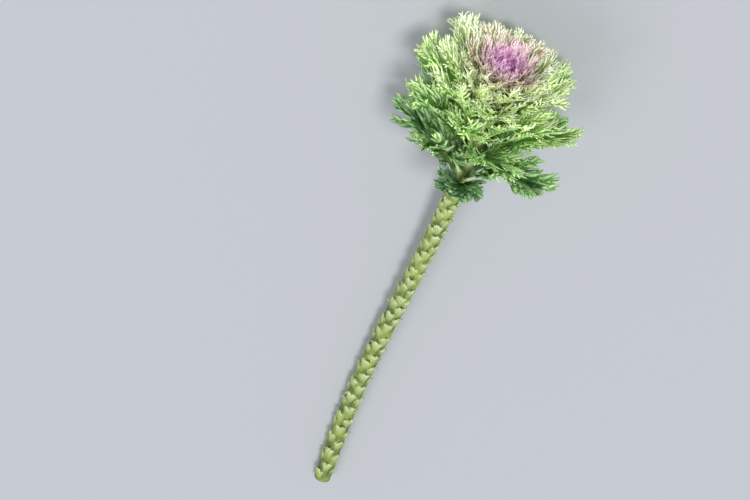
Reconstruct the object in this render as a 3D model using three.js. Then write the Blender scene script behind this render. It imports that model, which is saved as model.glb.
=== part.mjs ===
// One cut stem of feather-leaved ornamental kale, lying on a table: a long stem whose lower leaves
// have been stripped, a loose head of deeply cut leaves in a spiral, and the bud at its heart.
// Millimetres, +Z up. The stem runs along +X with the head at its +X end, and the origin is the
// middle of the footprint on the table.
import * as THREE from "three";

// Stem.
const STRIPPED_LENGTH = 502; // from the cut end to the lowest leaf
const LEAFY_LENGTH = 154; // of stem inside the head, up to the bud
const STEM_END = STRIPPED_LENGTH + LEAFY_LENGTH;
const CUT_RADIUS = 10.5;
const NECK_RADIUS = 9.5; // at the lowest leaf
const APEX_RADIUS = 5.5; // under the bud
const CUT_BEVEL = 1.2; // the crisp rim left by the knife
const STEM_SIDES = 20;
const STEM_STEP = 5; // between two rings of the stem where it has no scars
const TURN = THREE.MathUtils.degToRad(137.508); // between one leaf and the next round the stem

// Shield-shaped cushions that the stripped leaves left on the stem, one below each scar.
const CUSHION_HEIGHT = 2.2;
const CUSHION_LENGTH = 14;
const LIP_HALF_WIDTH = 6.5; // of a cushion at its scar
const FOOT_HALF_WIDTH = 3; // and at its lower end
const LIP_DROP = 1; // how soon the cushion ends above its scar
const NEAR_INTERNODE = 3; // between scars just below the head
const FAR_INTERNODE = 5; // between scars at the cut end

// How the stem lies: its pitch off the table and its gentle sideways bow, in degrees.
const CUT_PITCH = 1.2;
const NECK_PITCH = 7.5;
const HEAD_PITCH = 15;
const BOW = 3.2;

// Head. Each row is one kind of leaf, from the lowest and outermost to the innermost: where it joins
// above the lowest leaf, its length, its angle off the stem at the base and at the tip in degrees,
// its half width, its half thickness at the foot, and its lobes on each side.
const LEAF_COUNT = 58;
const LEAF_KINDS = [
  { at: 0, joins: 0, length: 112, base: 38, tip: 78, half: 34, thick: 2.2, lobes: 6 },
  { at: 0.13, joins: 32, length: 124, base: 30, tip: 68, half: 35, thick: 1.9, lobes: 6 },
  { at: 0.29, joins: 70, length: 124, base: 23, tip: 59, half: 32, thick: 1.5, lobes: 5 },
  { at: 0.52, joins: 110, length: 98, base: 16, tip: 50, half: 27, thick: 1.0, lobes: 5 },
  { at: 0.77, joins: 134, length: 63, base: 13, tip: 36, half: 18, thick: 0.8, lobes: 4 },
  { at: 1, joins: 150, length: 38, base: 12, tip: 12, half: 9, thick: 0.6, lobes: 3 },
];
const FIRST_LEAF_ANGLE = THREE.MathUtils.degToRad(222.5); // round the stem, 0 pointing up
const STEM_CLEARANCE = 0.4; // between a leaf's foot and the stem
const LENGTH_SPREAD = 0.07; // how far leaves of a kind differ in length, either way
const STALK_SHARE = 0.3; // of a leaf's length
const STALK_HALF_WIDTH = 4.2; // of the largest leaf
const BLADE_THICKNESS = 0.4; // a blade's share of the foot's thickness
const NOTCH = 0.52; // a notch's share of the blade's width
const LOBE_SWEEP = 0.45; // how far a lobe points forward, as a share of its reach
const LEAF_COLUMNS = 4; // of faces across a blade

// The table: leaves that would reach it bend and lie along it, each a little above the one below.
const PRESS_SOFTNESS = 3;
const PRESS_STEP = 0.6; // between one leaf and the next
const UNDERSIDE_TUCK = 0.14; // how much the head narrows downwards

// Bud.
const BUD_GAP = 0.4;
const BUD_LENGTH = 29;
const BUD_RADIUS = 7;
const BUD_SIDES = 12;
const BUD_RINGS = 9;

const COLOURS = {
  stem: 0xa9bd78,
  green: 0x5f8f4e,
  lime: 0xa3bf70,
  cream: 0xd9d8ae,
  pink: 0xd6a9c4,
  purple: 0xa45cae,
};

const degrees = THREE.MathUtils.degToRad;
const mix = THREE.MathUtils.lerp;
const ease = THREE.MathUtils.smoothstep;

// A number from 0 to 1 that looks random but is the same in every run.
function chance(i) {
  const wave = 43758.5453 * Math.sin(12.9898 * (i + 1));
  return wave - Math.floor(wave);
}

// The stem's centre line as points and frames at a fixed step, found by walking along it.
const LINE_STEP = 2;
const LINE = walkCentreLine(STRIPPED_LENGTH + 2 * LEAFY_LENGTH);

function pitchAt(s) {
  const toNeck = mix(CUT_PITCH, NECK_PITCH, ease(s, 0, STRIPPED_LENGTH));
  const inHead = ease(s, 0.8 * STRIPPED_LENGTH, STEM_END);
  return degrees(toNeck + (HEAD_PITCH - NECK_PITCH) * inHead);
}

function bowAt(s) {
  return degrees(BOW * Math.cos((1.6 * Math.PI * s) / STRIPPED_LENGTH));
}

function walkCentreLine(length) {
  const line = [];
  const at = new THREE.Vector3(0, 0, CUT_RADIUS);
  for (let s = 0; s <= length; s += LINE_STEP) {
    const [pitch, bow] = [pitchAt(s), bowAt(s)];
    const level = Math.cos(pitch);
    const along = new THREE.Vector3(level * Math.cos(bow), level * Math.sin(bow), Math.sin(pitch));
    const side = new THREE.Vector3(Math.sin(bow), -Math.cos(bow), 0);
    const up = new THREE.Vector3().crossVectors(side, along);
    line.push({ at: at.clone(), along, side, up });
    at.addScaledVector(along, LINE_STEP);
  }
  return line;
}

// The point at distance s along the stem, out by radius at an angle round it that is 0 on top.
function aroundStem(s, radius, angle) {
  const place = s / LINE_STEP;
  const i = Math.min(Math.max(Math.floor(place), 0), LINE.length - 2);
  const [a, b, t] = [LINE[i], LINE[i + 1], place - i];
  const [c, d] = [radius * Math.cos(angle), radius * Math.sin(angle)];
  const near = a.at.clone().addScaledVector(a.up, c).addScaledVector(a.side, d);
  const far = b.at.clone().addScaledVector(b.up, c).addScaledVector(b.side, d);
  return near.lerp(far, t);
}

// A closed solid through rings of points, ended by a point at each end. Each four-sided patch is cut
// along its shorter diagonal, so the two faces of a thin leaf are cut alike and stay apart.
function loft(rings, first, last) {
  const sides = rings[0].length;
  const points = [...rings.flat(), first, last];
  const [start, end] = [points.length - 2, points.length - 1];
  const faces = [];
  rings.forEach((ring, i) => {
    for (let j = 0; j < sides; j++) {
      const [a, b] = [i * sides + j, i * sides + ((j + 1) % sides)];
      const [c, d] = [b + sides, a + sides];
      if (i === 0) faces.push(start, b, a);
      if (i === rings.length - 1) {
        faces.push(end, a, b);
      } else {
        const alongAC = points[a].distanceTo(points[c]) < points[b].distanceTo(points[d]);
        faces.push(...(alongAC ? [a, b, c, a, c, d] : [a, b, d, b, c, d]));
      }
    }
  });
  const geometry = new THREE.BufferGeometry();
  geometry.setAttribute(
    "position",
    new THREE.Float32BufferAttribute(points.flatMap((p) => p.toArray()), 3),
  );
  geometry.setIndex(faces);
  geometry.computeVertexNormals();
  return geometry;
}

function mesh(name, geometry, colour, roughness) {
  const material = new THREE.MeshStandardMaterial({ color: colour, roughness, metalness: 0 });
  const made = new THREE.Mesh(geometry, material);
  made.name = name;
  return made;
}

// Stem.

function stemRadius(s) {
  if (s < STRIPPED_LENGTH) return mix(CUT_RADIUS, NECK_RADIUS, s / STRIPPED_LENGTH);
  return mix(NECK_RADIUS, APEX_RADIUS, (s - STRIPPED_LENGTH) / LEAFY_LENGTH);
}

// Scars go down the stem from the lowest leaf, in the same spiral as the leaves.
function leafScars() {
  const scars = [];
  let s = STRIPPED_LENGTH - NEAR_INTERNODE;
  for (let i = 1; s > CUSHION_LENGTH; i++) {
    scars.push({ s, angle: FIRST_LEAF_ANGLE - i * TURN });
    s -= mix(FAR_INTERNODE, NEAR_INTERNODE, s / STRIPPED_LENGTH);
  }
  return scars;
}

// A cushion swells slowly towards its scar and drops sharply above it. Its face is flat across.
function cushionAt(s, angle, scars) {
  let height = 0;
  for (const scar of scars) {
    const below = scar.s - s;
    if (below < -LIP_DROP || below > CUSHION_LENGTH) continue;
    const share = Math.max(0, below / CUSHION_LENGTH);
    const turned = Math.atan2(Math.sin(angle - scar.angle), Math.cos(angle - scar.angle));
    const across = (turned * NECK_RADIUS) / mix(LIP_HALF_WIDTH, FOOT_HALF_WIDTH, share);
    const swell = below < 0 ? 1 + below / LIP_DROP : 1 - share;
    height = Math.max(height, CUSHION_HEIGHT * swell * Math.exp(-(across ** 4)));
  }
  return height;
}

// Distances along the stem at which it has a ring of points: just above each scar and at its lip, and
// at even steps where there are no scars.
function ringPlaces(scars) {
  const places = scars.flatMap(({ s }) => [s + LIP_DROP, s]).reverse();
  const lowest = places[0] - 0.5 * STEM_STEP;
  const bare = [];
  for (let s = CUT_BEVEL; s < lowest; s += STEM_STEP) bare.push(s);
  const leafy = [];
  for (let s = STRIPPED_LENGTH; s < STEM_END; s += 2 * STEM_STEP) leafy.push(s);
  return [...bare, ...places, ...leafy];
}

function stem() {
  const scars = leafScars();
  const ringAt = (s, shrink) => {
    const ring = [];
    for (let j = 0; j < STEM_SIDES; j++) {
      const angle = (2 * Math.PI * j) / STEM_SIDES;
      ring.push(aroundStem(s, stemRadius(s) - shrink + cushionAt(s, angle, scars), angle));
    }
    return ring;
  };
  const rings = ringPlaces(scars).map((s) => ringAt(s, 0));
  const ends = [aroundStem(0, 0, 0), aroundStem(STEM_END, 0, 0)];
  const solid = loft([ringAt(0, CUT_BEVEL), ...rings, ringAt(STEM_END, CUT_BEVEL)], ...ends);
  return mesh("stem", solid, COLOURS.stem, 0.6);
}

// Leaves.

// The measures of a leaf that stands a share of the way in, between the two kinds around it.
function leafMeasures(share) {
  const next = Math.max(1, LEAF_KINDS.findIndex((kind) => kind.at >= share));
  const [a, b] = [LEAF_KINDS[next - 1], LEAF_KINDS[next]];
  const t = (share - a.at) / (b.at - a.at);
  const measures = {};
  for (const key of Object.keys(a)) measures[key] = mix(a[key], b[key], t);
  return measures;
}

// The midrib is an arc in the plane of the stem's axis: distance from the axis and height up the
// stem, at distance u from the leaf's foot.
function midrib(leaf, u) {
  const [from, to] = [degrees(leaf.base), degrees(leaf.tip)];
  const turn = ((to - from) * u) / leaf.length;
  const straight = Math.abs(turn) < 1e-6;
  const sine = straight ? Math.sin(from) : (Math.cos(from) - Math.cos(from + turn)) / turn;
  const cosine = straight ? Math.cos(from) : (Math.sin(from + turn) - Math.sin(from)) / turn;
  const foot = stemRadius(STRIPPED_LENGTH + leaf.joins) + STEM_CLEARANCE + leaf.thick;
  return { radius: foot + u * sine, height: leaf.joins + u * cosine };
}

// The head isn't quite round: slow waves go round it, and it narrows towards the table.
function headShape(radius, angle, height) {
  const waves = 0.05 * Math.sin(2 * angle + 0.7) + 0.04 * Math.sin(3 * angle + 2 + height / 40);
  const grown = ease(radius, APEX_RADIUS, 3 * NECK_RADIUS);
  const down = Math.max(0, -Math.cos(angle));
  return radius * (1 + grown * (waves - UNDERSIDE_TUCK * down * down));
}

// The height of a point that lies on something at the given level if it would go below it.
function pressed(z, level) {
  const over = (z - level) / PRESS_SOFTNESS;
  return level + PRESS_SOFTNESS * (over > 30 ? over : Math.log1p(Math.exp(over)));
}

function onLeaf(leaf, u, v) {
  const { radius, height } = midrib(leaf, u);
  const angle = leaf.angle + v / radius;
  const point = aroundStem(STRIPPED_LENGTH + height, headShape(radius, angle, height), angle);
  point.z = pressed(point.z, leaf.level);
  return point;
}

// The rows of a leaf: the share of its length at the midrib, and the half width there. The stalk
// narrows a little, then lobes and notches take turns up to the tip.
function leafRows(leaf) {
  const stalk = STALK_HALF_WIDTH * (0.35 + (0.65 * leaf.length) / LEAF_KINDS[0].length);
  const rows = [
    { share: 0, half: stalk },
    { share: 0.5 * STALK_SHARE, half: 0.75 * stalk },
    { share: STALK_SHARE, half: 0.7 * stalk },
  ];
  const steps = 2 * Math.round(leaf.lobes);
  for (let i = 1; i <= steps; i++) {
    const along = (i - 0.3) / steps;
    const outline = leaf.half * Math.sqrt(Math.sin(Math.PI * (0.06 + 0.84 * along)));
    const isLobe = i % 2 === 1;
    rows.push({
      share: mix(STALK_SHARE, 0.94, along),
      half: isLobe ? outline : NOTCH * outline,
    });
  }
  return rows;
}

function leafSolid(leaf) {
  const probe = 1e-2;
  const rings = leafRows(leaf).map(({ share, half }) => {
    const [top, under] = [[], []];
    for (let j = 0; j <= LEAF_COLUMNS; j++) {
      const across = (2 * j) / LEAF_COLUMNS - 1;
      const v = half * across;
      const forward = share > STALK_SHARE ? LOBE_SWEEP * half * across * across : 0;
      const u = share * leaf.reach + forward;
      const middle = onLeaf(leaf, u, v);
      const along = onLeaf(leaf, u + probe, v).sub(middle);
      const sideways = onLeaf(leaf, u, v + probe).sub(middle);
      const outward = sideways.cross(along).normalize();
      const lift = leaf.thick * mix(1, BLADE_THICKNESS, ease(share, 0, 0.5)) * (1 - across * across);
      top.push(middle.clone().addScaledVector(outward, lift));
      if (j > 0 && j < LEAF_COLUMNS) under.unshift(middle.clone().addScaledVector(outward, -lift));
    }
    return [...top, ...under];
  });
  return loft(rings, onLeaf(leaf, 0, 0), onLeaf(leaf, leaf.reach, 0));
}

// The two outermost leaves on the underside both lie on the table. Every other one lies a step above
// the leaves outside it.
function pressLevel(i, thick) {
  const step = i === 2 ? 0 : i;
  return BLADE_THICKNESS * thick + step * PRESS_STEP;
}

function leafName(i, share) {
  const kinds = [
    ["green_leaf", "green", 0.3],
    ["lime_leaf", "lime", 0.49],
    ["cream_leaf", "cream", 0.68],
    ["pink_leaf", "pink", 0.85],
    ["purple_leaf", "purple", 2],
  ];
  const [name, colour] = kinds.find((kind) => share < kind[2]);
  return { name: `${name}_${String(i + 1).padStart(2, "0")}`, colour: COLOURS[colour] };
}

function leaves() {
  const made = [];
  for (let i = 0; i < LEAF_COUNT; i++) {
    const share = i / (LEAF_COUNT - 1);
    const measures = leafMeasures(share);
    const leaf = {
      ...measures,
      reach: measures.length * (1 + LENGTH_SPREAD * (2 * chance(i) - 1)),
      angle: FIRST_LEAF_ANGLE + i * TURN,
      level: pressLevel(i, measures.thick),
    };
    const { name, colour } = leafName(i, share);
    made.push(mesh(name, leafSolid(leaf), colour, 0.55));
  }
  return made;
}

// Bud: a narrow egg on the end of the stem.

function heartBud() {
  const foot = STEM_END + BUD_GAP;
  const rings = [];
  for (let i = 0; i < BUD_RINGS; i++) {
    const along = i / BUD_RINGS;
    const radius = BUD_RADIUS * Math.sqrt(Math.sin(Math.PI * (0.12 + 0.84 * along)));
    const ring = [];
    for (let j = 0; j < BUD_SIDES; j++) {
      const angle = (2 * Math.PI * j) / BUD_SIDES;
      ring.push(aroundStem(foot + BUD_LENGTH * along, radius, angle));
    }
    rings.push(ring);
  }
  const [base, tip] = [aroundStem(foot, 0, 0), aroundStem(foot + BUD_LENGTH, 0, 0)];
  return mesh("heart_bud", loft(rings, base, tip), COLOURS.purple, 0.5);
}

const kale = new THREE.Group();
kale.add(stem(), ...leaves(), heartBud());
const box = new THREE.Box3().setFromObject(kale, true);
kale.position.set(-(box.min.x + box.max.x) / 2, -(box.min.y + box.max.y) / 2, -box.min.z);

export default kale;
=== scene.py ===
"""The looks of one cut stem of feather-leaved ornamental kale, lying on a pale table.

The stem's line and every leaf's surface are worked out from the CAD part's own measures, so each leaf
here, a midrib with branching lobes, lies on the same surface as its CAD solid. Shapes are worked out in
millimetres in the part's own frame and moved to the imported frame, in metres, at the end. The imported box
of the bud says how far.
"""

import math

import bpy
import numpy as np
from mathutils import Matrix, Vector


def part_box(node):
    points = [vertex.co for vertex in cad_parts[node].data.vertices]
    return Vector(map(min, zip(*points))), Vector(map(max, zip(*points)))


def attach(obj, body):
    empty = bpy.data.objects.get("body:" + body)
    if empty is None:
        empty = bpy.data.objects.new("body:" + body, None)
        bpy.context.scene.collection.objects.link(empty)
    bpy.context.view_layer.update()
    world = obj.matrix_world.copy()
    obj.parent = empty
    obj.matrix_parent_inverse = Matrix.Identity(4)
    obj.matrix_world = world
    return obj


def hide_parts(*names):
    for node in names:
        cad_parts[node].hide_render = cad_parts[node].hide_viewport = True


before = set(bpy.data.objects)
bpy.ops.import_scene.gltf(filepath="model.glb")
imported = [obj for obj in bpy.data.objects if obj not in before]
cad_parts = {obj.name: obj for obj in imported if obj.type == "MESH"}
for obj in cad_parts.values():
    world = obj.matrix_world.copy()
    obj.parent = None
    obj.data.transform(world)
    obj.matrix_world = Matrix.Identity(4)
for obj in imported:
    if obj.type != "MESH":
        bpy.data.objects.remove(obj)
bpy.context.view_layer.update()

# ---------------------------------------------------------------- measures, as the CAD part has them

STRIPPED_LENGTH = 502.0  # of stem from the cut end to the lowest leaf
LEAFY_LENGTH = 154.0  # of stem inside the head, up to the bud
CUT_RADIUS, NECK_RADIUS, APEX_RADIUS = 10.5, 9.5, 5.5
TURN = math.radians(137.508)  # from one leaf to the next, round the stem
CUT_PITCH, NECK_PITCH, HEAD_PITCH = 1.2, 7.5, 15.0  # degrees off the table
BOW = 3.2  # degrees to the side
LINE_STEP = 2.0
CUSHION_HEIGHT, CUSHION_LENGTH = 2.2, 14.0  # of what a stripped leaf leaves below its scar
LIP_HALF_WIDTH, FOOT_HALF_WIDTH = 6.5, 3.0  # of a cushion, at its scar and at its lower end
NEAR_INTERNODE, FAR_INTERNODE = 3.0, 5.0  # between scars, below the head and at the cut end

# Leaves between the lowest, at 0, and the innermost, at 1: where they join above the lowest one, their
# length, their angles off the stem at base and tip in degrees, half width, half thickness at the foot.
LEAF_COUNT = 58
LEAF_KINDS = {
    "at": (0, 0.13, 0.29, 0.52, 0.77, 1),
    "joins": (0, 32, 70, 110, 134, 150),
    "length": (112, 124, 124, 98, 63, 38),
    "base": (38, 30, 23, 16, 13, 12),
    "tip": (78, 68, 59, 50, 36, 12),
    "half": (34, 35, 32, 27, 18, 9),
    "thick": (2.2, 1.9, 1.5, 1.0, 0.8, 0.6),
}
FIRST_LEAF_ANGLE = math.radians(222.5)
STEM_CLEARANCE = 0.4  # between a leaf's foot and the stem
LENGTH_SPREAD = 0.07  # how far leaves of a kind differ in length
STALK_SHARE = 0.3  # of a leaf's length
BLADE_THICKNESS = 0.4  # a blade's share of the foot's thickness
PRESS_SOFTNESS = 3.0  # of the bend of leaves that lie on the table
PRESS_STEP = 0.6  # from one of those to the next above it
UNDERSIDE_TUCK = 0.14  # how much the head narrows downwards
BUD_GAP, BUD_LENGTH, BUD_RADIUS = 0.4, 29.0, 7.0
BUD_SIDES, BUD_RINGS = 12, 9
LEAF_NAMES = (  # each for the leaves below a share of the way in
    ("green_leaf", 0.3),
    ("lime_leaf", 0.49),
    ("cream_leaf", 0.68),
    ("pink_leaf", 0.85),
    ("purple_leaf", 2.0),
)

# ---------------------------------------------------------------- measures that only the looks have

HEART_LEAVES = 20  # unopened leaves that make up the bud
LEAF_TABLE_GAP, STEM_TABLE_GAP = 0.2, 0.1  # under the lowest lobes and under the stem
REACH_SPARE = 9.0  # how far lobes may pass the tip of their leaf's solid
OUTWARD_SPARE = 5.0  # and how far they may stand off its back
REACH_SOFTNESS, OUTWARD_SOFTNESS, LEAF_TABLE_SOFTNESS, STEM_TABLE_SOFTNESS = 5.0, 2.0, 0.5, 0.25

STEM_SIDES = 90  # points round the stem's skin
STEM_ROW, HEAD_ROW = 1.0, 1.5  # millimetres between its rings, below the head and in it
FLAPS_PER_SCAR = 4
MIDRIB_RINGS, LOBE_RINGS, FINE_RINGS, TOOTH_RINGS, FLAP_RINGS = 26, 8, 5, 3, 5

MARGIN_ANGLE = math.radians(65)  # edges sharper than this, as at a lobe's margin, show as edges

LEAF_SEED, HEART_SEED, STEM_SEED = 11, 111, 511


def ease(x, low, high):
    t = np.clip((np.asarray(x, float) - low) / (high - low), 0, 1)
    return t * t * (3 - 2 * t)


def mix(a, b, t):
    return a + (b - a) * t


def unit(vectors):
    return vectors / np.linalg.norm(vectors, axis=-1, keepdims=True)


def chance(i):
    """The part's own repeatable number from 0 to 1 for leaf i."""
    wave = 43758.5453 * math.sin(12.9898 * (i + 1))
    return wave - math.floor(wave)


# ---------------------------------------------------------------- the stem's line, the leaves' surfaces


def walk_centre_line():
    """Points of the stem's centre line at even steps, and what is sideways and upwards there."""
    s = np.arange(0, STRIPPED_LENGTH + 2 * LEAFY_LENGTH, LINE_STEP)
    pitch = mix(CUT_PITCH, NECK_PITCH, ease(s, 0, STRIPPED_LENGTH))
    in_head = ease(s, 0.8 * STRIPPED_LENGTH, STRIPPED_LENGTH + LEAFY_LENGTH)
    pitch = np.radians(pitch + (HEAD_PITCH - NECK_PITCH) * in_head)
    bow = np.radians(BOW * np.cos(1.6 * np.pi * s / STRIPPED_LENGTH))
    along = np.stack([np.cos(pitch) * np.cos(bow), np.cos(pitch) * np.sin(bow), np.sin(pitch)], 1)
    side = np.stack([np.sin(bow), -np.cos(bow), np.zeros_like(bow)], 1)
    up = np.cross(side, along)
    steps = np.vstack([[0, 0, CUT_RADIUS], LINE_STEP * along[:-1]])
    return np.cumsum(steps, 0), side, up


LINE_AT, LINE_SIDE, LINE_UP = walk_centre_line()


def around_stem(s, radius, angle):
    """Points at distance s along the stem, out by radius, at an angle round it that is 0 on top."""
    place = np.asarray(s, float) / LINE_STEP
    i = np.clip(np.floor(place).astype(int), 0, len(LINE_AT) - 2)
    t = (place - i)[..., None]
    c, d = (radius * np.cos(angle))[..., None], (radius * np.sin(angle))[..., None]
    near = LINE_AT[i] + LINE_UP[i] * c + LINE_SIDE[i] * d
    far = LINE_AT[i + 1] + LINE_UP[i + 1] * c + LINE_SIDE[i + 1] * d
    return near + (far - near) * t


def stem_radius(s):
    s = np.asarray(s, float)
    below = mix(CUT_RADIUS, NECK_RADIUS, s / STRIPPED_LENGTH)
    above = mix(NECK_RADIUS, APEX_RADIUS, (s - STRIPPED_LENGTH) / LEAFY_LENGTH)
    return np.where(s < STRIPPED_LENGTH, below, above)


def midrib(leaf, u):
    """Distance from the stem's axis and height up it, at distance u from the leaf's foot."""
    start, end = math.radians(leaf["base"]), math.radians(leaf["tip"])
    turn = (end - start) * u / leaf["length"]
    turn = np.where(np.abs(turn) < 1e-6, 1e-6, turn)
    sine = (math.cos(start) - np.cos(start + turn)) / turn
    cosine = (np.sin(start + turn) - math.sin(start)) / turn
    return leaf["foot"] + u * sine, leaf["joins"] + u * cosine


def head_shape(radius, angle, height):
    """The head isn't quite round: slow waves go round it, and it narrows towards the table."""
    waves = 0.05 * np.sin(2 * angle + 0.7) + 0.04 * np.sin(3 * angle + 2 + height / 40)
    grown = ease(radius, APEX_RADIUS, 3 * NECK_RADIUS)
    down = np.maximum(0, -np.cos(angle))
    return radius * (1 + grown * (waves - UNDERSIDE_TUCK * down * down))


def pressed(z, level, softness):
    """Heights that lie on something at the given level where they would go below it."""
    return level + softness * np.logaddexp(0, (z - level) / softness)


def on_leaf(leaf, u, v):
    """Points of a leaf's surface, at u along its midrib and v across it."""
    radius, height = midrib(leaf, u)
    radius = np.maximum(radius, 0.5)
    angle = leaf["angle"] + v / radius
    points = around_stem(STRIPPED_LENGTH + height, head_shape(radius, angle, height), angle)
    points[..., 2] = pressed(points[..., 2], leaf["level"], PRESS_SOFTNESS)
    return points


def bend(leaf, points):
    """Leaf space to the part's frame: along the midrib, across it, and off the face turned inwards."""
    u, v, w = points[:, 0], points[:, 1], points[:, 2]
    u = leaf["reach"] - pressed(leaf["reach"] - u, -REACH_SPARE, REACH_SOFTNESS)
    w = pressed(w, -OUTWARD_SPARE, OUTWARD_SOFTNESS)
    probe = 0.5
    middle = on_leaf(leaf, u, v)
    along = on_leaf(leaf, u + probe, v) - middle
    across = on_leaf(leaf, u, v + probe) - middle
    inward = unit(np.cross(along, across))
    bent = middle + w[:, None] * inward
    bent[:, 2] = pressed(bent[:, 2], LEAF_TABLE_GAP - OFFSET[2], LEAF_TABLE_SOFTNESS)
    return bent


def cad_offset():
    """From the part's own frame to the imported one, in millimetres, measured on the bud's solid."""
    foot = STRIPPED_LENGTH + LEAFY_LENGTH + BUD_GAP
    i, j = np.meshgrid(np.arange(BUD_RINGS), np.arange(BUD_SIDES), indexing="ij")
    radius = BUD_RADIUS * np.sqrt(np.sin(np.pi * (0.12 + 0.84 * i / BUD_RINGS)))
    rings = around_stem(foot + BUD_LENGTH * i / BUD_RINGS, radius, 2 * np.pi * j / BUD_SIDES)
    ends = around_stem(np.array([foot, foot + BUD_LENGTH]), np.zeros(2), np.zeros(2))
    bud = np.vstack([rings.reshape(-1, 3), ends])
    low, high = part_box("heart_bud")
    return 500 * (np.array(low) + np.array(high)) - (bud.min(0) + bud.max(0)) / 2


OFFSET = cad_offset()


# ---------------------------------------------------------------- skins: closed ribbons of one piece


class Skin:
    """Gathers the points, faces and per-point values of one piece."""

    def __init__(self, value_names):
        self.names = value_names
        self.points, self.values, self.faces = [], [], []
        self.count = 0

    def tubes(self, rings, ends, ring_values, end_values):
        """Closed tubes, all with the same number of rings: (tube, ring, side, 3), and the points that
        close both ends of each: (tube, 2, 3). The values have the same shapes."""
        count, length, sides, _ = rings.shape
        per = length * sides + 2
        width = len(self.names)
        points = np.concatenate([rings.reshape(count, per - 2, 3), ends], axis=1)
        data = np.concatenate([ring_values.reshape(count, per - 2, width), end_values], axis=1)
        j = np.arange(sides)
        k = (j + 1) % sides
        a = np.arange(length - 1)[:, None] * sides + j[None, :]
        b = np.arange(length - 1)[:, None] * sides + k[None, :]
        walls = np.stack([a, b, b + sides, a + sides], -1).reshape(-1, 4)
        last = (length - 1) * sides
        starts = np.stack([np.full(sides, per - 2), k, j], -1)
        closings = np.stack([np.full(sides, per - 1), last + j, last + k], -1)
        offsets = (np.arange(count) * per)[:, None, None]
        self.points.append(points.reshape(count * per, 3))
        self.values.append(data.reshape(count * per, width))
        for faces in (walls, starts, closings):
            moved = faces[None] + offsets + self.count
            self.faces += moved.reshape(count * len(faces), faces.shape[1]).tolist()
        self.count += count * per

    def ribbons(self, centres, across, out, widths, thicks, section, values):
        """Closed ribbons, all with the same number of rings: centres, across and out are
        (ribbon, ring, 3), widths and thicks (ribbon, ring) half measures, section (side, 2) and
        values (ribbon, ring, value)."""
        x = section[:, 0][None, None, :, None] * widths[..., None, None]
        z = section[:, 1][None, None, :, None] * thicks[..., None, None]
        rings = centres[:, :, None, :] + x * across[:, :, None, :] + z * out[:, :, None, :]
        ring_values = np.repeat(values[:, :, None, :], len(section), axis=2)
        if "back" in self.names:
            ring_values[..., self.names.index("back")] = section[:, 1] < 0
        self.tubes(rings, centres[:, [0, -1]], ring_values, values[:, [0, -1]])

    def piece(self, name, points, material, slot, nodes):
        """Makes the Blender object, riding on the plant's one body in place of its CAD solids."""
        mesh = bpy.data.meshes.new(name)
        mesh.from_pydata((points + OFFSET) / 1000, [], self.faces)
        data = np.vstack(self.values)
        for column, value in enumerate(self.names):
            layer = mesh.attributes.new(value, "FLOAT", "POINT")
            layer.data.foreach_set("value", data[:, column].astype(np.float32))
        mesh.materials.append(material)
        mesh.shade_smooth()
        mesh.set_sharp_from_angle(angle=MARGIN_ANGLE)
        piece = bpy.data.objects.new(name, mesh)
        bpy.context.scene.collection.objects.link(piece)
        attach(piece, "root")
        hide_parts(*nodes)


# Cross sections of a ribbon: across it, and off its face. The face is a shallow channel.
FINE_SECTION = np.array([(-1, 0.3), (0, -0.7), (1, 0.3), (0, -0.05)])
LOBE_SECTION = np.array([(-1, 0.4), (-0.4, -0.6), (0.4, -0.6), (1, 0.4), (0.45, 0.1), (-0.45, 0.1)])


def blade_section():
    """A thin blade with a midrib that stands out from its back."""
    top = np.array([-1, -0.55, -0.18, 0, 0.18, 0.55, 1])
    back = top[-2:0:-1]
    face = 0.25 * (1 - top * top)
    ridge = -0.25 * (1 - back * back) - 0.9 * np.exp(-((back / 0.22) ** 2))
    x, z = np.concatenate([top, back]), np.concatenate([face, ridge])
    return np.stack([x, z], 1)[::-1]


BLADE_SECTION = blade_section()


# ---------------------------------------------------------------- lobes


def grow(start, heading, across, length, steps, curl, lift, twist):
    """The paths of many lobes at once. Curl bends them in their own plane, lift bends them off it and
    twist turns that plane, each in radians over the whole lobe."""
    centres, headings, widths, normals = [start], [heading], [across], [np.cross(heading, across)]
    for _ in range(steps):
        a, b, c = (x[:, None] / steps for x in (curl, lift, twist))
        normal = np.cross(heading, across)
        turned = heading * np.cos(a) + across * np.sin(a)
        across = across * np.cos(a) - heading * np.sin(a)
        heading = turned * np.cos(b) + normal * np.sin(b)
        normal = np.cross(heading, across)
        across = unit(across * np.cos(c) + normal * np.sin(c))
        start = start + heading * (length / steps)[:, None]
        centres.append(start)
        headings.append(heading)
        widths.append(across)
        normals.append(np.cross(heading, across))
    return tuple(np.stack(x, 1) for x in (centres, headings, widths, normals))


def branch(path, parent, place, side, angle, rise):
    """Where lobes leave their parents: start, heading and across, at a share of the parent's length."""
    centres, headings, across, normals = path
    rings = centres.shape[1] - 1
    at = np.clip(place * rings, 0, rings - 1e-6)
    i = at.astype(int)
    t = (at - i)[:, None]

    def between(rows):
        return rows[parent, i] * (1 - t) + rows[parent, i + 1] * t

    forward, left, up = unit(between(headings)), unit(between(across)), unit(between(normals))
    s = side[:, None]
    tilt = (side * rise)[:, None]
    outwards = left * np.cos(tilt) + up * np.sin(tilt)
    a = angle[:, None]
    heading = forward * np.cos(a) + s * outwards * np.sin(a)
    sideways = outwards * np.cos(a) - s * forward * np.sin(a)
    return between(centres), unit(heading), unit(sideways)


def lobe_widths(width, rings, flare, point):
    """Half widths along a lobe: spread at the root, then narrowing to a more or less pointed tip."""
    t = np.linspace(0, 1, rings)
    shape = 1 + flare * np.exp(-t / 0.15) - 0.3 * t
    shape = shape * (1 - np.clip((t - 0.5) / 0.52, 0, 1)) ** point
    return width[:, None] * shape[None, :]


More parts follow.
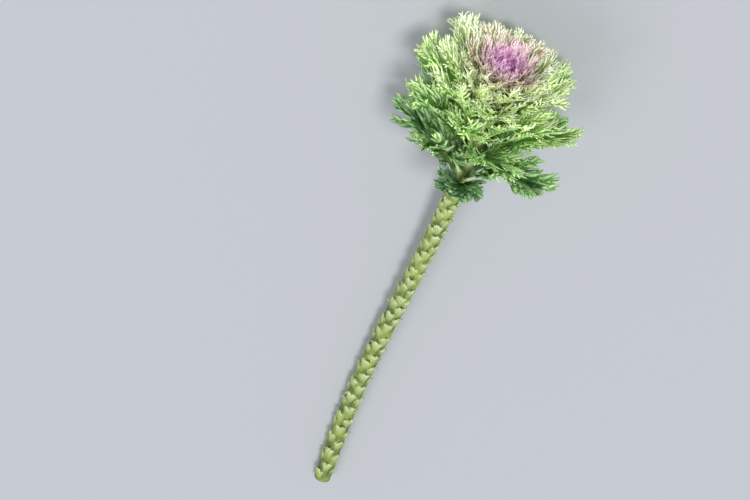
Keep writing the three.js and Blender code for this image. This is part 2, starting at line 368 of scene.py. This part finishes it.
def stations(rng, lengths, spacing, first, last):
    """Places along parents for their lobes, on alternate sides: parent, place and side."""
    parents, places, sides = [], [], []
    for parent, length in enumerate(lengths):
        count = int(length * (last - first) / spacing)
        if count < 1:
            continue
        begin = 1 if rng.random() < 0.5 else -1
        for k in range(count):
            place = first + (last - first) * (k + 0.5) / count
            places.append(place + 0.25 * (rng.random() - 0.5) / count)
            parents.append(parent)
            sides.append(begin * (1 if k % 2 else -1))
    return np.array(parents, int), np.array(places), np.array(sides, float)


def leaf_measures(share):
    """The measures of a leaf that stands a share of the way in."""
    kinds = LEAF_KINDS
    leaf = {key: float(np.interp(share, kinds["at"], kinds[key])) for key in kinds if key != "at"}
    leaf["share"] = share
    return leaf


def place_leaf(leaf, i):
    """Adds what follows from the leaf's measures and its place in the spiral. The two outermost leaves
    on the underside both lie on the table, and every other one lies a step above those outside it."""
    step = 0 if i == 2 else i
    leaf["angle"] = FIRST_LEAF_ANGLE + i * TURN
    leaf["reach"] = leaf["length"] * (1 + LENGTH_SPREAD * (2 * chance(i) - 1))
    leaf["level"] = BLADE_THICKNESS * leaf["thick"] + step * PRESS_STEP
    radius = float(stem_radius(STRIPPED_LENGTH + leaf["joins"]))
    leaf["foot"] = radius + STEM_CLEARANCE + leaf["thick"]
    leaf["low"] = float(1 - ease(leaf["share"], 0.3, 0.6))
    leaf["broad"] = float(1 - ease(leaf["share"], 0.0, 0.16))
    leaf["point"] = mix(0.85, 0.25, leaf["broad"])
    leaf["size"] = leaf["half"] / LEAF_KINDS["half"][0]
    return leaf


# What every point of a leaf knows: how far in its leaf stands, how near it is to a lobe's tip, how much
# it belongs to the midrib, its lobe's own shade, and whether it is on the face turned outwards.
VALUES = ("share", "tip", "rib", "tone", "back")


def values(share, tip, rib, tone):
    """The columns of VALUES side by side. The last is filled in where the ribbon gets its faces."""
    columns = (share, tip, rib, tone, 0.0)
    shape = np.broadcast_shapes(*(np.shape(x) for x in columns))
    return np.stack([np.broadcast_to(x, shape) for x in columns], -1)


def outline(leaf, along):
    """Half width of the whole leaf where its lobes' tips lie, at a share of the blade's length."""
    first = mix(0.06, 0.2, leaf["low"])
    return leaf["half"] * np.sqrt(np.sin(np.pi * mix(first, 0.9, np.clip(along, 0, 1))))


# The two lobes at a leaf's tip: the ways they head, across those, and their shares of its length.
TIP_HEADINGS = unit(np.array([[1, 0.28, 0.1], [1, -0.25, 0]]))
TIP_ACROSS = unit(np.array([[-0.28, 1, 0], [0.25, 1, 0]]))
TIP_LENGTHS = np.array([0.1275, 0.125])
TIP_PLACE = 0.92


def add_midrib(leaf, rng, skin):
    """Stalk and midrib in one. Gives its path, and at its rings the share of the leaf's length, the
    half width and the share of the midrib's colour."""
    reach, size = leaf["reach"], leaf["size"]
    u = np.linspace(-5.0 * size - 1, 0.93 * reach, MIDRIB_RINGS)
    along = u / reach
    stalk = 4.2 * (0.35 + 0.65 * size) * (1 - 0.45 * ease(along, 0, 0.35))
    stalk = stalk * (1 + 0.35 * np.exp(-np.clip(along, 0, 1) / 0.05))
    blade = mix(3.0, 7.0, leaf["broad"]) * (0.4 + 0.6 * size)
    blade = blade * np.sin(np.pi * ease(along, 0.2, 1.15)) ** 0.8
    half = np.maximum(stalk * (1 - ease(along, 0.25, 0.8)), blade) * (1 - 0.75 * ease(along, 0.6, 1))
    thick = leaf["thick"] * mix(1, 0.35, ease(along, 0, 0.55)) * (1 - 0.6 * ease(along, 0.5, 1))
    wave = 0.8 * size * np.sin(along * 17 + 6 * rng.random()) * ease(along, 0.3, 0.5)
    sway = 0.03 * reach * (rng.random() - 0.5) * np.sin(np.pi * np.clip(along, 0, 1))
    centres = np.stack([u, sway, wave], 1)[None]
    headings, across, normals = (np.broadcast_to(axis, centres.shape) for axis in np.eye(3))
    rib = np.clip(1.1 - 1.1 * ease(along, 0.2, 0.95), 0, 1)
    skin.ribbons(centres, across, normals, half[None], thick[None], BLADE_SECTION,
                 values(leaf["share"], 0.2 + 0.3 * ease(along, 0.5, 1), rib, 0.6)[None])
    return (centres, headings, across, normals), along, half, rib


def add_lobes(leaf, rng, skin, path, along, half, rib):
    """Lobes on both sides of the midrib, and two at its tip. Gives their paths, lengths and tones."""
    reach, size, low, broad = (leaf[key] for key in ("reach", "size", "low", "broad"))
    pairs = int(round(mix(8, 11, size) + 3 * low))
    count = 2 * pairs
    k = np.repeat(np.arange(pairs), 2)
    side = np.tile([1.0, -1.0], pairs)
    blade_at = (k + 0.3 + 0.35 * (side > 0) + 0.3 * (rng.random(count) - 0.5)) / pairs
    blade_at = np.clip(blade_at, 0.01, 0.97)
    on_midrib = mix(STALK_SHARE * mix(0.75, 0.4, low), 0.9, blade_at)
    place = (on_midrib - along[0]) / (along[-1] - along[0])
    angle = np.radians(mix(52, 18, blade_at ** 1.2) + 8 * (rng.random(count) - 0.5))
    rise = rng.normal(0.2, 0.24, count)
    spread = mix(1.12, 1.3, broad) * (outline(leaf, blade_at) - 0.5 * np.interp(on_midrib, along, half))
    length = spread / np.sin(np.clip(angle + 0.12, 0.5, 2))
    length = np.minimum(length, (1.06 - on_midrib) * reach / np.cos(angle))
    length = length * (0.75 + 0.4 * rng.random(count))
    length = length * mix(mix(0.55, 0.8, low), 1, ease(blade_at, -0.05, 0.3))
    length = np.minimum(length, 0.42 * reach)
    start, heading, across = branch(path, np.zeros(count, int), place, side, angle, rise)

    # The two at the tip.
    start = np.vstack([start, np.repeat(path[0][0, -2:-1], 2, 0)])
    heading = np.vstack([heading, TIP_HEADINGS])
    across = np.vstack([across, TIP_ACROSS])
    side = np.concatenate([side, [1, -1]])
    length = np.concatenate([length, reach * TIP_LENGTHS])
    on_midrib = np.concatenate([on_midrib, [TIP_PLACE, TIP_PLACE]])
    count = len(length)
    curl = -side * np.radians(rng.normal(15, 7, count))
    lift = np.radians(rng.normal(4, 12, count))
    twist = np.radians(rng.normal(0, 16, count))
    lobes = grow(start, heading, across, length, LOBE_RINGS - 1, curl, lift, twist)
    width = (0.7 + 0.024 * length) * mix(0.7, 1.2, size) * (1 + 0.8 * broad)
    widths = lobe_widths(width, LOBE_RINGS, 1.5, leaf["point"])
    thicks = np.minimum(0.42 * widths, 0.75 * size + 0.25)
    t = np.linspace(0, 1, LOBE_RINGS)[None, :]
    lobe_rib = 0.6 * (1 - t) * np.interp(on_midrib, along, rib)[:, None]
    tone = rng.random(count)
    skin.ribbons(lobes[0], lobes[2], lobes[3], widths, thicks, LOBE_SECTION,
                 values(leaf["share"], 0.05 + 0.6 * t, lobe_rib, tone[:, None]))
    return lobes, length, tone


def add_fine_lobes(leaf, rng, skin, lobes, lobe_length, lobe_tone):
    """Lobes on both sides of those. Gives their paths, lengths and tones."""
    size, broad = leaf["size"], leaf["broad"]
    spacing = mix(2.6, 5.4, size) * (1 + 0.5 * broad)
    parent, place, side = stations(rng, lobe_length, spacing, mix(0.16, 0.24, size), 0.97)
    count = len(parent)
    angle = np.radians(rng.normal(30, 5, count))
    rise = rng.normal(0.08, 0.14, count)
    start, heading, across = branch(lobes, parent, place, side, angle, rise)
    room = lobe_length[parent] * (1.05 - place)
    length = np.clip(0.44 * lobe_length[parent] * (1 - 0.3 * place) + 2.5, 3, 20)
    length = np.minimum(length, 0.8 * room + 3) * (0.75 + 0.5 * rng.random(count))
    curl = -side * np.radians(rng.normal(22, 9, count))
    lift = np.radians(rng.normal(3, 9, count))
    twist = np.radians(rng.normal(0, 10, count))
    fine = grow(start, heading, across, length, FINE_RINGS - 1, curl, lift, twist)
    width = (0.62 + 0.042 * length) * mix(0.75, 1.45, size) * (1 + 1.3 * broad)
    widths = lobe_widths(width, FINE_RINGS, 0.6, leaf["point"])
    t = np.linspace(0, 1, FINE_RINGS)[None, :]
    root_tip = 0.05 + 0.6 * place[:, None]
    tone = 0.5 * lobe_tone[parent] + 0.5 * rng.random(count)
    skin.ribbons(fine[0], fine[2], fine[3], widths, 0.4 * widths, FINE_SECTION,
                 values(leaf["share"], mix(root_tip, 1, 0.15 + 0.75 * t), 0.0, tone[:, None]))
    return fine, length, tone


def add_teeth(leaf, rng, skin, fine, fine_length, fine_tone):
    """Small teeth on both sides of the fine lobes."""
    parent, place, side = stations(rng, fine_length, 6 + 5 * leaf["broad"], 0.35, 0.9)
    count = len(parent)
    angle = np.radians(rng.normal(32, 6, count))
    rise = rng.normal(0.1, 0.4, count)
    start, heading, across = branch(fine, parent, place, side, angle, rise)
    length = np.clip(0.45 * fine_length[parent], 2, 5.5) * (0.8 + 0.4 * rng.random(count))
    curl = -side * np.radians(rng.normal(18, 10, count))
    lift = np.radians(rng.normal(0, 20, count))
    teeth = grow(start, heading, across, length, TOOTH_RINGS - 1, curl, lift, np.zeros(count))
    width = np.full(count, 0.65 * mix(0.75, 1.5, leaf["size"]))
    widths = lobe_widths(width, TOOTH_RINGS, 0.4, leaf["point"])
    t = np.linspace(0, 1, TOOTH_RINGS)[None, :]
    root_tip = mix(0.35, 0.9, place)[:, None]
    skin.ribbons(teeth[0], teeth[2], teeth[3], widths, 0.45 * widths, FINE_SECTION,
                 values(leaf["share"], mix(root_tip, 1, t), 0.0, fine_tone[parent][:, None]))


def leaf_skin(leaf, rng, skin):
    """One leaf in leaf space: stalk and midrib, then lobes, lobes on those, and teeth on those."""
    midrib_parts = add_midrib(leaf, rng, skin)
    lobe_parts = add_lobes(leaf, rng, skin, *midrib_parts)
    fine_parts = add_fine_lobes(leaf, rng, skin, *lobe_parts)
    add_teeth(leaf, rng, skin, *fine_parts)


# ---------------------------------------------------------------- materials


def srgb(r, g, b):
    """A colour as it is seen, 0 to 255, for a shader socket."""
    def linear(c):
        c = c / 255
        return c / 12.92 if c <= 0.04045 else ((c + 0.055) / 1.055) ** 2.4
    return (linear(r), linear(g), linear(b), 1)


class Nodes:
    """Short ways to add and join shader nodes of one material."""

    def __init__(self, name):
        self.material = bpy.data.materials.new(name)
        self.material.use_nodes = True
        self.tree = self.material.node_tree
        self.shader = self.tree.nodes["Principled BSDF"]

    def add(self, kind, inputs=None, **settings):
        node = self.tree.nodes.new(kind)
        for key, value in settings.items():
            setattr(node, key, value)
        for key, value in (inputs or {}).items():
            self.put(node.inputs[key], value)
        return node

    def put(self, socket, value):
        if isinstance(value, bpy.types.NodeSocket):
            self.tree.links.new(value, socket)
        else:
            socket.default_value = value

    def value(self, name):
        return self.add("ShaderNodeAttribute", attribute_name=name).outputs["Fac"]

    def math(self, operation, a, b):
        return self.add("ShaderNodeMath", {0: a, 1: b}, operation=operation).outputs[0]

    def span(self, value, low, high, to_low=0.0, to_high=1.0, smooth=True):
        node = self.add("ShaderNodeMapRange", interpolation_type="SMOOTHSTEP" if smooth else "LINEAR")
        for socket, item in zip(node.inputs[:5], (value, low, high, to_low, to_high)):
            self.put(socket, item)
        return node.outputs[0]

    def noise(self, scale, detail=2.0, roughness=0.5, stretch=1.0):
        where = self.add("ShaderNodeTexCoord").outputs["Object"]
        if stretch != 1.0:
            squeeze = {0: where, 1: (1 / stretch, 1, 1)}
            where = self.add("ShaderNodeVectorMath", squeeze, operation="MULTIPLY").outputs[0]
        node = self.add("ShaderNodeTexNoise",
                        {"Vector": where, "Scale": scale, "Detail": detail, "Roughness": roughness})
        return node.outputs["Fac"]

    def ramp(self, value, stops):
        node = self.add("ShaderNodeValToRGB")
        ramp = node.color_ramp
        while len(ramp.elements) < len(stops):
            ramp.elements.new(0.5)
        for element, (place, colour) in zip(ramp.elements, stops):
            element.position = place
            element.color = srgb(*colour)
        self.put(node.inputs["Fac"], value)
        return node.outputs["Color"]

    def blend(self, factor, a, b, mode="MIX"):
        sockets = {"Factor": factor, "A": a, "B": b}
        return self.add("ShaderNodeMix", sockets, data_type="RGBA", blend_type=mode).outputs["Result"]

    def bump(self, height, strength, distance):
        node = self.add("ShaderNodeBump", {"Height": height, "Strength": strength, "Distance": distance})
        self.put(self.shader.inputs["Normal"], node.outputs["Normal"])


# Colours from the outermost leaf to the heart: of the blade, of the lobes' tips and of the midrib.
BLADE_COLOURS = (
    (0.0, (80, 126, 92)),
    (0.14, (76, 138, 74)),
    (0.25, (148, 206, 104)),
    (0.33, (202, 236, 154)),
    (0.42, (226, 242, 174)),
    (0.52, (236, 240, 193)),
    (0.60, (238, 224, 196)),
    (0.67, (238, 210, 192)),
    (0.75, (238, 194, 208)),
    (0.84, (232, 176, 206)),
    (0.93, (218, 156, 198)),
    (1.0, (188, 116, 190)),
)
TIP_COLOURS = (
    (0.0, (154, 190, 150)),
    (0.14, (212, 238, 178)),
    (0.28, (242, 253, 206)),
    (0.40, (246, 252, 223)),
    (0.54, (239, 243, 221)),
    (0.64, (243, 233, 221)),
    (0.75, (249, 231, 232)),
    (0.86, (250, 224, 236)),
    (1.0, (242, 200, 232)),
)
RIB_COLOURS = (
    (0.0, (178, 202, 150)),
    (0.28, (204, 224, 154)),
    (0.54, (238, 242, 196)),
    (0.76, (246, 230, 218)),
    (0.88, (240, 206, 232)),
    (1.0, (214, 160, 214)),
)


# Painted light and shade: what the blades' colours are multiplied by, darker and tinted as painted shade
# on the face turned to the heart, lighter as painted light on the face turned away from it, and the
# same on both faces of the leaves near the heart.
INNER_FACE_PAINTED_SHADES = {"Red": 0.52, "Green": 0.61, "Blue": 0.43}
OUTER_FACE_PAINTED_LIGHT = 1.66
HEART_INNER_PAINTED_SHADE, HEART_OUTER_PAINTED_LIGHT = 0.98, 1.22

# From the creases between the stem's cushions, darker there as painted shade, to their faces, pale in their
# own colour.
STEM_AND_CREASE_SHADE_COLOURS = (
    (0.0, (90, 113, 48)),
    (0.2, (141, 164, 88)),
    (0.5, (179, 198, 129)),
    (1.0, (210, 224, 169)),
)
YELLOW_COLOUR = srgb(187, 204, 106)  # patches of the stem
LIP_COLOUR = srgb(228, 240, 186)
TAN_COLOUR = srgb(176, 160, 104)  # dried parts of the lips
# Painted shade in the hollows torn below the scars.
HOLLOW_PAINTED_SHADE = srgb(56, 69, 31)
RIND_COLOUR = srgb(134, 158, 84)
PITH_COLOUR = srgb(236, 240, 210)


def leaf_material(name):
    n = Nodes(name)
    patchy = n.noise(45.0, 3.0)
    share = n.math("ADD", n.value("share"), n.span(patchy, 0.3, 0.7, -0.035, 0.035, smooth=False))
    tip = n.math("ADD", n.value("tip"), n.span(n.noise(160.0, 2.0), 0.3, 0.7, -0.12, 0.12, smooth=False))
    blade = n.ramp(share, BLADE_COLOURS)
    pale = n.ramp(share, TIP_COLOURS)
    rib = n.ramp(share, RIB_COLOURS)
    colour = n.blend(n.span(tip, 0.15, 0.75), blade, pale)
    colour = n.blend(n.span(n.value("rib"), 0.05, 0.8), colour, rib)
    mottle = n.span(n.noise(420.0, 3.0, 0.6), 0.3, 0.7, 0.93, 1.17, smooth=False)
    deepest = n.span(share, 0.15, 0.4, 0.66, 0.8)
    tone = n.span(n.value("tone"), 0.0, 1.0, deepest, 1.3, smooth=False)
    mottle = n.math("MULTIPLY", mottle, tone)
    # Painted light on the face turned away from the heart, painted shade on the face turned to it.
    outer_face_painted_light = n.span(share, 0.6, 0.78, OUTER_FACE_PAINTED_LIGHT, HEART_OUTER_PAINTED_LIGHT)
    channels = {}
    for channel, inner_painted_shade in INNER_FACE_PAINTED_SHADES.items():
        inner_face_painted_shade = n.span(share, 0.64, 0.82, inner_painted_shade, HEART_INNER_PAINTED_SHADE)
        face = n.span(n.value("back"), 0.2, 0.8, inner_face_painted_shade, outer_face_painted_light)
        channels[channel] = n.math("MULTIPLY", mottle, face)
    painted_shading = n.add("ShaderNodeCombineColor", channels)
    colour = n.blend(1.0, colour, painted_shading.outputs["Color"], "MULTIPLY")
    n.put(n.shader.inputs["Base Color"], colour)
    n.put(n.shader.inputs["Roughness"], n.span(patchy, 0.3, 0.7, 0.46, 0.6))
    n.bump(n.noise(900.0, 3.0), 0.35, 0.0004)
    return n.material


def stem_material():
    n = Nodes("kale_stem_skin")
    streaks = n.noise(420.0, 3.0, stretch=8.0)
    height = n.math("ADD", n.value("height"), n.span(streaks, 0.3, 0.7, -0.16, 0.16, smooth=False))
    # Painted shade: darker where the relief is low, in the creases between the cushions.
    colour = n.ramp(height, STEM_AND_CREASE_SHADE_COLOURS)
    yellow = n.math("MULTIPLY", n.span(n.noise(60.0, 3.0), 0.45, 0.65), 0.5)
    colour = n.blend(yellow, colour, YELLOW_COLOUR)
    colour = n.blend(n.span(n.value("lip"), 0.25, 0.95), colour, LIP_COLOUR)
    tan = n.math("MULTIPLY", n.span(n.value("lip"), 0.3, 0.9), n.span(n.noise(260.0, 3.0), 0.5, 0.64))
    colour = n.blend(n.math("MULTIPLY", tan, 0.6), colour, TAN_COLOUR)
    # Painted shade in the torn hollows.
    colour = n.blend(n.span(n.value("hollow"), 0.25, 0.7), colour, HOLLOW_PAINTED_SHADE)
    colour = n.blend(n.span(n.value("pith"), 0.1, 0.4), colour, RIND_COLOUR)
    colour = n.blend(n.span(n.value("pith"), 0.45, 0.9), colour, PITH_COLOUR)
    n.put(n.shader.inputs["Base Color"], colour)
    n.put(n.shader.inputs["Roughness"], n.span(streaks, 0.3, 0.7, 0.5, 0.66))
    n.bump(n.noise(500.0, 3.0), 0.45, 0.0006)
    return n.material


# ---------------------------------------------------------------- pieces


def leaf_name(i, share):
    kind = next(name for name, below in LEAF_NAMES if share < below)
    return kind, f"{kind}_{i + 1:02d}"


def build_leaves():
    for i in range(LEAF_COUNT):
        share = i / (LEAF_COUNT - 1)
        leaf = place_leaf(leaf_measures(share), i)
        slot, node = leaf_name(i, share)
        rng = np.random.default_rng(LEAF_SEED + i)
        skin = Skin(VALUES)
        leaf_skin(leaf, rng, skin)
        points = bend(leaf, np.vstack(skin.points))
        skin.piece(f"frilled_{node}", points, LEAF_MATERIALS[slot], slot, [node])


def build_heart():
    skin = Skin(VALUES)
    bent = []
    for k in range(HEART_LEAVES):
        t = k / (HEART_LEAVES - 1)
        share = 0.97 + 0.03 * t
        leaf = leaf_measures(1.0)
        leaf.update(share=share, joins=mix(150, 160, t), length=mix(36, 22, t), base=mix(11, 3, t),
                    tip=mix(6, -14, t), half=mix(8, 4.5, t), thick=0.4)
        place_leaf(leaf, LEAF_COUNT + k)
        leaf["foot"] = mix(5, 1.5, t)
        rng = np.random.default_rng(HEART_SEED + k)
        before = len(skin.points)
        leaf_skin(leaf, rng, skin)
        bent.append(bend(leaf, np.vstack(skin.points[before:])))
    skin.piece("frilled_heart", np.vstack(bent), LEAF_MATERIALS["heart"], "heart", ["heart_bud"])


def leaf_scars(rng):
    """Where leaves were stripped from the stem: distance along it and angle round it."""
    scars, s, i = [], STRIPPED_LENGTH - NEAR_INTERNODE, 1
    while s > CUSHION_LENGTH:
        scars.append((s + rng.normal(0, 0.8), FIRST_LEAF_ANGLE - i * TURN + rng.normal(0, 0.09)))
        s -= mix(FAR_INTERNODE, NEAR_INTERNODE, s / STRIPPED_LENGTH)
        i += 1
    return scars


def leaf_feet():
    """Where the leaves still stand on it."""
    shares = [i / (LEAF_COUNT - 1) for i in range(LEAF_COUNT)]
    joins = [leaf_measures(share)["joins"] for share in shares]
    return [(STRIPPED_LENGTH + at, FIRST_LEAF_ANGLE + i * TURN) for i, at in enumerate(joins)]


def ripple(x, pace, rng):
    """A wave along x that starts anywhere in its turn."""
    return np.sin(pace * x + 6.3 * rng.random())


def cushion(below, x, rng):
    """Relief, lip and hollow of one cushion, at distances below its scar and across from it."""
    x = x - rng.normal(0, 0.5)
    lip_line = 0.8 * (x / LIP_HALF_WIDTH) ** 2
    for size, pace in ((0.75, 0.8), (0.5, 1.7), (0.35, 3.1)):
        lip_line = lip_line + size * ripple(x, pace, rng)
    below = below - lip_line
    share = np.clip(below / CUSHION_LENGTH, 0, 1)
    wide = rng.uniform(0.9, 1.2) * mix(LIP_HALF_WIDTH, FOOT_HALF_WIDTH, share)
    across = np.exp(-(x / wide) ** 4)
    swell = np.where(below < 0, np.exp(-((below / 0.6) ** 2)), 1 - share ** rng.uniform(0.7, 1.3))
    fibres = 1 + 0.09 * ripple(x, 2.3, rng) + 0.06 * ripple(x, 3.4, rng)
    relief = rng.uniform(0.75, 1.2) * CUSHION_HEIGHT * swell * across * fibres
    lip = np.exp(-((below / 1.2) ** 2)) * across
    torn = np.exp(-(((below + 2.3) / 1.4) ** 2) - ((x - rng.normal(0, 1)) / 3.3) ** 2)
    hollow = rng.uniform(0.2, 1.2) * torn
    return relief, lip, hollow


def stem_rings():
    """Distances along the stem and shares of its radius, one for each ring of its skin."""
    core = [(0.5, 0.3), (0.35, 0.7), (0.1, 0.86), (0.0, 0.93)]
    skin = np.concatenate([[0.5], np.arange(1.3, STRIPPED_LENGTH, STEM_ROW),
                           np.arange(STRIPPED_LENGTH, STRIPPED_LENGTH + LEAFY_LENGTH, HEAD_ROW)])
    rings = np.array(core + [(s, 1.0) for s in skin])
    return rings[:, 0], rings[:, 1]


def build_stem():
    """The stem's skin, with a cushion below every leaf or scar, and torn flaps on the scars' lips."""
    rng = np.random.default_rng(STEM_SEED)
    s, shrink = stem_rings()
    angle = np.arange(STEM_SIDES) * 2 * np.pi / STEM_SIDES
    grid_s, grid_a = np.meshgrid(s, angle, indexing="ij")
    relief, lip, hollow = (np.zeros_like(grid_s) for _ in range(3))
    scars = leaf_scars(rng)
    for at, turn in scars + leaf_feet():
        rows = np.abs(s - at) < 1.4 * CUSHION_LENGTH
        turned = np.arctan2(np.sin(grid_a[rows] - turn), np.cos(grid_a[rows] - turn))
        made = cushion(at - grid_s[rows], turned * NECK_RADIUS, rng)
        torn = float(at < STRIPPED_LENGTH)
        for whole, part in zip((relief, lip, hollow), (made[0], torn * made[1], torn * made[2])):
            whole[rows] = np.maximum(whole[rows], part)
    radius = stem_radius(grid_s) + relief - 1.2 * hollow
    radius = np.where(shrink[:, None] < 1, (CUT_RADIUS - 0.5) * shrink[:, None], radius)
    pith = np.repeat(ease(1 - shrink, 0.04, 0.2)[:, None], STEM_SIDES, 1)
    data = np.stack([relief / (1.2 * CUSHION_HEIGHT), lip, hollow, pith], -1)[None]
    ends = around_stem(np.array([0.6, s[-1]]), np.zeros(2), np.zeros(2))[None]
    skin = Skin(("height", "lip", "hollow", "pith"))
    skin.tubes(around_stem(grid_s, radius, grid_a)[None], ends, data,
               np.array([[[0, 0, 0, 1.0], [0, 0, 0, 0]]]))
    torn_flaps(skin, scars, rng)
    points = np.vstack(skin.points)
    points[:, 2] = pressed(points[:, 2], STEM_TABLE_GAP - OFFSET[2], STEM_TABLE_SOFTNESS)
    skin.piece("knobbly_stem", points, stem_material(), "stem", ["stem"])


def torn_flaps(skin, scars, rng):
    """Pointed shreds of rind that stand up along the lips of the scars."""
    at, angle = (np.repeat(np.array(x), FLAPS_PER_SCAR) for x in zip(*scars))
    count = len(at)
    x = rng.uniform(-0.85, 0.85, count) * LIP_HALF_WIDTH
    at = at - 0.8 * (x / LIP_HALF_WIDTH) ** 2 - rng.uniform(-0.4, 1.0, count)
    angle = angle + x / NECK_RADIUS
    radius = stem_radius(at) + 0.82 * CUSHION_HEIGHT * np.exp(-(x / LIP_HALF_WIDTH) ** 4)
    start = around_stem(at, radius, angle)
    out = unit(around_stem(at, radius + 1, angle) - start)
    along = unit(around_stem(at + 1, radius, angle) - start)
    lean = np.radians(rng.normal(38, 16, count))[:, None]
    heading = along * np.cos(lean) + out * np.sin(lean)
    length = rng.uniform(1.4, 5.2, count)
    curl = np.radians(rng.normal(0, 20, count))
    lift = np.radians(rng.normal(10, 35, count))
    twist = np.radians(rng.normal(0, 25, count))
    across = unit(np.cross(out, along))
    flaps = grow(start, heading, across, length, FLAP_RINGS - 1, curl, lift, twist)
    t = np.linspace(0, 1, FLAP_RINGS)[None, :]
    widths = rng.uniform(0.7, 1.7, count)[:, None] * (1.02 - t) ** 0.8
    thicks = np.repeat(0.3 * (1.1 - t), count, 0)
    flap_values = np.broadcast_to(np.array([1.0, 1.0, 0, 0]), (count, FLAP_RINGS, 4))
    skin.ribbons(flaps[0], flaps[2], flaps[3], widths, thicks, FINE_SECTION, flap_values)


LEAF_MATERIALS = {
    slot: leaf_material(f"kale_{slot}")
    for slot in ("green_leaf", "lime_leaf", "cream_leaf", "pink_leaf", "purple_leaf", "heart")
}
build_leaves()
build_heart()
build_stem()


# ---------------------------------------------------------------- stage, lights and camera


FLOOR_COLOUR, BACKDROP_COLOUR = (197, 200, 206), (200, 204, 210)
WORLD_COLOUR, WORLD_STRENGTH = (0.95, 0.97, 1.0, 1), 0.4
KEY_FROM, KEY_STRENGTH, KEY_SOFTNESS = (0.5, -0.35, 1.3), 1.66, math.radians(14)
FILL_FROM, FILL_STRENGTH, FILL_SOFTNESS = (-0.5, 0.3, 0.9), 0.54, math.radians(30)
FLOOR_HALF = 6.0  # metres

CAMERA_TARGET = (0.018, 0.055, 0.04)
CAMERA_ELEVATION = math.radians(59)
CAMERA_DISTANCE, CAMERA_LENS = 2.1, 85
CAMERA_ROLL = math.radians(-157)


def build_floor():
    mesh = bpy.data.meshes.new("floor")
    a = FLOOR_HALF
    mesh.from_pydata([(-a, -a, 0), (a, -a, 0), (a, a, 0), (-a, a, 0)], [], [(0, 1, 2, 3)])
    floor = bpy.data.objects.new("floor", mesh)
    bpy.context.scene.collection.objects.link(floor)
    n = Nodes("pale_floor")
    n.put(n.shader.inputs["Base Color"], srgb(*FLOOR_COLOUR))
    n.put(n.shader.inputs["Roughness"], 0.8)
    mesh.materials.append(n.material)


def aim(thing, place, target, roll=0.0):
    place, target = Vector(place), Vector(target)
    turn = (target - place).to_track_quat("-Z", "Y").to_matrix().to_4x4()
    thing.matrix_world = Matrix.Translation(place) @ turn @ Matrix.Rotation(roll, 4, "Z")


def sun_lamp(name, place, strength, softness):
    data = bpy.data.lights.new(name, "SUN")
    data.energy = strength
    data.angle = softness
    lamp = bpy.data.objects.new(name, data)
    bpy.context.scene.collection.objects.link(lamp)
    aim(lamp, place, (0, 0, 0))


def build_world():
    """Even studio light, with the floor's colour where the camera or a reflection looks past it."""
    world = bpy.data.worlds.new("studio")
    bpy.context.scene.world = world
    world.use_nodes = True
    tree = world.node_tree
    light = tree.nodes["Background"]
    light.inputs["Color"].default_value = WORLD_COLOUR
    light.inputs["Strength"].default_value = WORLD_STRENGTH
    backdrop = tree.nodes.new("ShaderNodeBackground")
    backdrop.inputs["Color"].default_value = srgb(*BACKDROP_COLOUR)
    path = tree.nodes.new("ShaderNodeLightPath").outputs
    seen = path["Is Camera Ray"]
    for ray in ("Is Glossy Ray", "Is Transmission Ray"):
        either = tree.nodes.new("ShaderNodeMath")
        either.use_clamp = True
        tree.links.new(seen, either.inputs[0])
        tree.links.new(path[ray], either.inputs[1])
        seen = either.outputs[0]
    mixed = tree.nodes.new("ShaderNodeMixShader")
    tree.links.new(seen, mixed.inputs["Fac"])
    tree.links.new(light.outputs["Background"], mixed.inputs[1])
    tree.links.new(backdrop.outputs["Background"], mixed.inputs[2])
    tree.links.new(mixed.outputs["Shader"], tree.nodes["World Output"].inputs["Surface"])


def build_camera():
    data = bpy.data.cameras.new("camera")
    data.lens = CAMERA_LENS
    camera = bpy.data.objects.new("camera", data)
    bpy.context.scene.collection.objects.link(camera)
    target = np.array(CAMERA_TARGET)
    back = np.array([math.cos(CAMERA_ELEVATION), 0, math.sin(CAMERA_ELEVATION)])
    aim(camera, target + CAMERA_DISTANCE * back, target, CAMERA_ROLL)
    bpy.context.scene.camera = camera


build_floor()
build_world()
sun_lamp("key", KEY_FROM, KEY_STRENGTH, KEY_SOFTNESS)
sun_lamp("fill", FILL_FROM, FILL_STRENGTH, FILL_SOFTNESS)
build_camera()
bpy.context.scene.view_settings.view_transform = "Standard"
